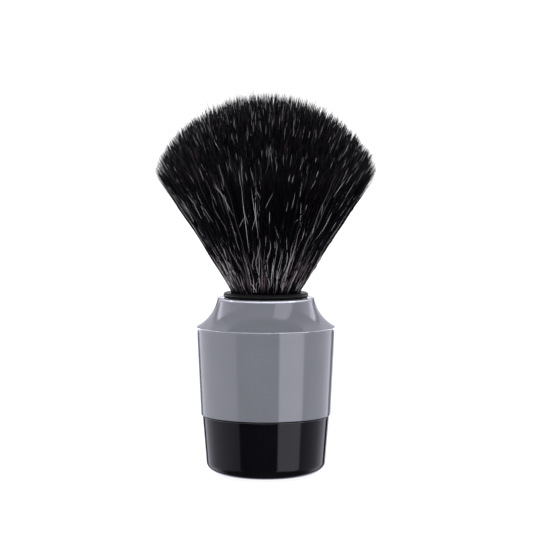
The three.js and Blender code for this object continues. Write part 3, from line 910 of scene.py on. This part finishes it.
def make_fibres():
    """The fan's own fibres. Those near its side run from the collar to the dome, and the others,
    whose lower part is hidden, are made from a little under the dome."""
    fibre_core()
    rng = np.random.default_rng(17)
    index = np.arange(FIBRE_COUNT)
    share = np.sqrt((index + 0.5) / FIBRE_COUNT)
    azimuth = (index * GOLDEN) % (2 * math.pi)
    azimuth = azimuth + rng.normal(0, AZIMUTH_SCATTER, FIBRE_COUNT)
    tips = np.stack([share * np.cos(azimuth), share * np.sin(azimuth)], axis=1)
    seeds = tips[rng.choice(FIBRE_COUNT, GATHERED_TIPS, replace=False)]
    groups = nearest(tips, seeds)
    pull = rng.uniform(*GATHER_PULL, FIBRE_COUNT)
    rolls = rng.random(FIBRE_COUNT)
    outer = share > OUTER_SHARE
    crown = ~outer
    side_paths = strand_paths(rng, share[outer], azimuth[outer], FIBRE_FOOT, 15, FIBRE_LEAN)
    crown_foot = tip_height(share[crown]) - CROWN_LENGTH
    crown_paths = strand_paths(rng, share[crown], azimuth[crown], crown_foot, 5, FIBRE_LEAN)
    parts = [
        ("side", gather(side_paths, groups[outer], pull[outer]), outer),
        ("crown", gather(crown_paths, groups[crown], pull[crown]), crown),
    ]
    for shade, material, low, high in SHADES:
        chosen = (rolls >= low) & (rolls < high)
        for part, paths, mask in parts:
            picked = paths[chosen[mask]]
            thickness = rng.uniform(*FIBRE_RADIUS, len(picked))
            # Each segment of a strand has three sides of two triangles, and each strand two caps.
            limit = PIECE_FACES // ((picked.shape[1] - 1) * 6 + 2)
            for number, start in enumerate(range(0, len(picked), limit), 1):
                chunk = slice(start, start + limit)
                name = f"fibres_{part}_{shade}_{number}"
                add_strands(name, rng, picked[chunk], thickness[chunk], material)


def make_stray_fibres():
    """The single fibres whose pale colour is painted highlight: on the fan's side, at the collar
    and on the dome.
    """
    rng = np.random.default_rng(5)
    for name, material, count, starts, lengths, swing, thickness, segments in STRAYS:
        paths = stray_paths(rng, count, starts, lengths, swing, segments)
        add_strands(name, rng, paths, rng.uniform(*thickness, count), material, both_ends=True)
    share = rng.uniform(0.0, 1.0, PAINTED_HIGHLIGHT_TIPS) ** PAINTED_HIGHLIGHT_TIP_POWER
    azimuth = rng.uniform(0, 2 * math.pi, PAINTED_HIGHLIGHT_TIPS)
    foot = tip_height(share) - rng.uniform(*PAINTED_HIGHLIGHT_TIP_LENGTH, PAINTED_HIGHLIGHT_TIPS)
    paths = strand_paths(rng, share, azimuth, foot, 5, PAINTED_HIGHLIGHT_TIP_LEAN)
    thickness = rng.uniform(*PAINTED_HIGHLIGHT_TIP_RADIUS, PAINTED_HIGHLIGHT_TIPS)
    add_strands("fibres_tip_painted_highlight", rng, paths, thickness, FIBRE_PAINTED_HIGHLIGHT, both_ends=True)


def stray_paths(rng, count, starts, lengths, swing, segments):
    """Centre lines of fibres on the fan's surface, between random heights above the collar."""
    s = np.linspace(0, 1, segments + 1)[None, :]
    foot = FAN_FOOT + rng.uniform(*starts, count)
    end = np.minimum(foot + rng.uniform(*lengths, count), FAN_CORNER)
    z = foot[:, None] + (end - foot)[:, None] * s
    azimuth = rng.uniform(0, 2 * math.pi, count)[:, None]
    share = rng.uniform(*STRAY_SHARE, count)[:, None]
    phase = rng.uniform(0, 2 * math.pi, (2, count, 1))
    wave_length = rng.uniform(*STRAY_CRIMP_LENGTH, (count, 1))
    waves = np.sin(2 * math.pi * z / wave_length + phase)
    fade = np.clip((z - FAN_FOOT) / STRAY_FADE, 0, 1)
    side = rng.gamma(2.0, swing / 2, (count, 1)) * waves[0] * fade
    surface = np.where(z > FAN_FOOT, fan_radius(z) * share, ROOT_R * STRAY_ROOT_SHARE)
    angle = azimuth + rng.normal(0, STRAY_TWIST, (count, 1)) * s
    return around_axis(surface + STRAY_RISE * waves[1] * fade, angle, side, z)


def nearest(points, seeds):
    """For each point, the index of the nearest seed, found in blocks to save memory."""
    groups = np.empty(len(points), int)
    block_size = 500
    for start in range(0, len(points), block_size):
        block = points[start : start + block_size]
        distance = ((block[:, None] - seeds[None]) ** 2).sum(2)
        groups[start : start + block_size] = distance.argmin(1)
    return groups


# ---- Hidden CAD pieces --------------------------------------------------------------------------


def finish_cad_nodes():
    """Gives the pieces that are carried over from the CAD their materials."""
    finishes = {
        "tie_screw": STEEL,
        "screw_washer": STEEL,
        "ballast_weight": STEEL,
        "ballast_damper": RUBBER,
        "base_seal": RUBBER,
        "threaded_insert": BRASS,
        "knot_resin": RESIN,
        "knot_binding": CORD,
    }
    for name, material in finishes.items():
        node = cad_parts[name]
        for slot in node.material_slots:
            slot.material = material


# ---- Studio -------------------------------------------------------------------------------------

CAMERA_DISTANCE_M = 0.69
CAMERA_ELEVATION_DEGREES = 4.15
CAMERA_TARGET = (0.17, 0, 60.15)
VIEW_WIDTH = 152.7
SENSOR_WIDTH = 36.0


def make_camera():
    """A camera a little above the level of the brush, framed as the photograph is."""
    elevation = math.radians(CAMERA_ELEVATION_DEGREES)
    data = bpy.data.cameras.new("camera")
    data.sensor_width = SENSOR_WIDTH
    data.lens = SENSOR_WIDTH * CAMERA_DISTANCE_M / (VIEW_WIDTH * MM)
    camera = bpy.data.objects.new("camera", data)
    back = Vector((0, -math.cos(elevation), math.sin(elevation)))
    camera.location = Vector(CAMERA_TARGET) * MM + back * CAMERA_DISTANCE_M
    camera.rotation_euler = back.to_track_quat("Z", "Y").to_euler()
    bpy.context.scene.collection.objects.link(camera)
    bpy.context.scene.camera = camera


def make_floor():
    """A white floor, which glows a little to stay white and shows in no reflection."""
    half_m = 14.0
    corners = [(x * half_m, y * half_m, 0) for x, y in ((-1, -1), (1, -1), (1, 1), (-1, 1))]
    mesh = bpy.data.meshes.new("floor")
    mesh.from_pydata(corners, [], [(0, 1, 2, 3)])
    floor = bpy.data.objects.new("floor", mesh)
    shader = Shader("studio_white", (0.25, 0.25, 0.25), 1.0, Specular_IOR_Level=0.0)
    shader.bsdf.inputs["Emission Color"].default_value = (1, 1, 1, 1)
    shader.bsdf.inputs["Emission Strength"].default_value = 0.95
    mesh.materials.append(shader.material)
    floor.visible_glossy = False
    bpy.context.scene.collection.objects.link(floor)


# Brightness of what the gloss reflects, by bearing in degrees: 0 is the camera's side, and positive
# is to its right. One table for each height: up to the horizon, above it, high up, and the narrow
# strip of light that lies along the horizon and arches up on the camera's side.
BANDS_LOW = [
    (-180, 1.8),
    (-161, 1.4),
    (-159, 0.03),
    (-149, 0.03),
    (-146, 1.7),
    (-132, 1.1),
    (-112, 0.7),
    (-90, 0.56),
    (-68, 0.44),
    (-52, 0.36),
    (-49, 0.02),
    (21, 0.02),
    (24, 1.2),
    (61, 1.25),
    (66, 1.1),
    (69, 0.22),
    (92, 0.37),
    (110, 0.6),
    (128, 1.15),
    (140, 1.7),
    (143, 0.03),
    (154, 0.03),
    (157, 1.4),
    (180, 1.8),
]
BANDS_MIDDLE = [
    (-180, 0.9),
    (-147, 0.9),
    (-143, 0.4),
    (-135, 0.4),
    (-132, 2.6),
    (-124, 2.3),
    (-119, 1.3),
    (-106, 0.9),
    (-88, 0.6),
    (-52, 0.3),
    (-49, 0.2),
    (21, 0.2),
    (24, 1.15),
    (61, 1.2),
    (66, 1.0),
    (69, 0.2),
    (92, 0.45),
    (110, 0.75),
    (119, 1.1),
    (124, 1.9),
    (135, 2.5),
    (138, 0.4),
    (146, 0.4),
    (149, 0.9),
    (180, 0.9),
]
BANDS_HIGH = [
    (-180, 0.7),
    (-140, 0.55),
    (-120, 0.3),
    (-90, 0.25),
    (-52, 0.22),
    (-49, 0.3),
    (21, 0.3),
    (24, 1.1),
    (61, 1.15),
    (66, 0.9),
    (69, 0.15),
    (92, 0.22),
    (120, 0.3),
    (140, 0.55),
    (180, 0.7),
]
BAND_HORIZON = [
    (-180, 7.0),
    (-120, 9.0),
    (-97, 7.0),
    (-92, 11.0),
    (-86, 11.0),
    (-82, 6.0),
    (-70, 5.0),
    (-30, 7.0),
    (0, 8.5),
    (53, 8.5),
    (58, 12.0),
    (72, 12.0),
    (76, 7.0),
    (120, 9.0),
    (180, 7.0),
]
BRIGHTEST = 20.0

# Where one height gives way to the next, as sines of elevation.
MIDDLE_STARTS = (0.05, 0.15)
HIGH_STARTS = (0.52, 0.58)
OVERHEAD_STARTS = (0.84, 0.94)
OVERHEAD = 0.06
FLOOR_ENDS = (-0.78, -0.45)
FLOOR = 0.03
HORIZON_STARTS = (-0.115, -0.1)
HORIZON_ENDS = (-0.2, -0.12)
HORIZON_ARCH = 0.37

# What lights the matt surfaces, and what the camera sees behind the brush.
SOFT_LIGHT_STARTS = (0.34, 0.77)
SOFT_LIGHT = 3.0
BACKDROP = 1.3
PLAIN_TINT = (0.8, 0.8, 0.8, 1)
GLOSS_TINT = (0.795, 0.785, 0.9, 1)


def make_world():
    """The studio around the brush: one light for gloss, one for matt surfaces and a backdrop."""
    world = bpy.data.worlds.new("studio")
    bpy.context.scene.world = world
    world.use_nodes = True
    tree = world.node_tree
    tree.nodes.clear()
    new = tree.nodes.new
    link = tree.links.new

    def math_node(operation, a, b=None):
        node = new("ShaderNodeMath")
        node.operation = operation
        for socket, value in zip(node.inputs, (a, b)):
            if value is None:
                continue
            if isinstance(value, (int, float)):
                socket.default_value = value
            else:
                link(value, socket)
        return node.outputs["Value"]

    coordinates = new("ShaderNodeTexCoord")
    axes = new("ShaderNodeSeparateXYZ")
    link(coordinates.outputs["Generated"], axes.inputs["Vector"])
    towards_camera = math_node("MULTIPLY", axes.outputs["Y"], -1)
    bearing = math_node("ARCTAN2", axes.outputs["X"], towards_camera)
    turn = math_node("ADD", math_node("DIVIDE", bearing, 2 * math.pi), 0.5)

    def banded(table):
        """A table's brightness at the ray's bearing."""
        ramp = new("ShaderNodeValToRGB")
        elements = ramp.color_ramp.elements
        elements.remove(elements[-1])
        for index, (angle, brightness) in enumerate(table):
            position = (angle + 180) / 360
            element = elements[0] if index == 0 else elements.new(position)
            element.position = position
            element.color = (*[brightness / BRIGHTEST] * 3, 1)
        link(turn, ramp.inputs["Fac"])
        return math_node("MULTIPLY", ramp.outputs["Color"], BRIGHTEST)

    def rising(start, end, height=axes.outputs["Z"]):
        """From 0 below the first height to 1 above the second."""
        step = new("ShaderNodeMapRange")
        step.interpolation_type = "SMOOTHSTEP"
        step.inputs["From Min"].default_value = start
        step.inputs["From Max"].default_value = end
        link(height, step.inputs["Value"])
        return step.outputs["Result"]

    def mixed(share, below, above):
        first = math_node("MULTIPLY", below, math_node("SUBTRACT", 1, share))
        return math_node("ADD", first, math_node("MULTIPLY", above, share))

    glossy = mixed(rising(*MIDDLE_STARTS), banded(BANDS_LOW), banded(BANDS_MIDDLE))
    glossy = mixed(rising(*HIGH_STARTS), glossy, banded(BANDS_HIGH))
    glossy = mixed(rising(*OVERHEAD_STARTS), glossy, OVERHEAD)
    half_bearing = math_node("MULTIPLY", bearing, 0.5)
    arch = math_node("MULTIPLY", math_node("COSINE", half_bearing), HORIZON_ARCH)
    over = rising(*HORIZON_ENDS, math_node("SUBTRACT", axes.outputs["Z"], arch))
    horizon = math_node("MULTIPLY", rising(*HORIZON_STARTS), math_node("SUBTRACT", 1, over))
    glossy = mixed(horizon, glossy, banded(BAND_HORIZON))
    glossy = mixed(rising(*FLOOR_ENDS), FLOOR, glossy)
    path = new("ShaderNodeLightPath")
    is_glossy = path.outputs["Is Glossy Ray"]
    diffuse = math_node("MULTIPLY", rising(*SOFT_LIGHT_STARTS), SOFT_LIGHT)
    strength = mixed(is_glossy, diffuse, glossy)
    strength = mixed(path.outputs["Is Camera Ray"], strength, BACKDROP)
    background = new("ShaderNodeBackground")
    tint = new("ShaderNodeMix")
    tint.data_type = "RGBA"
    tint.inputs["A"].default_value = PLAIN_TINT
    tint.inputs["B"].default_value = GLOSS_TINT
    link(is_glossy, tint.inputs["Factor"])
    link(tint.outputs["Result"], background.inputs["Color"])
    link(strength, background.inputs["Strength"])
    output = new("ShaderNodeOutputWorld")
    link(background.outputs["Background"], output.inputs["Surface"])


make_camera()
make_floor()
make_world()
make_sleeve()
make_base()
make_collar()
make_fibres()
make_stray_fibres()
finish_cad_nodes()
bpy.context.scene.view_settings.view_transform = "Standard"
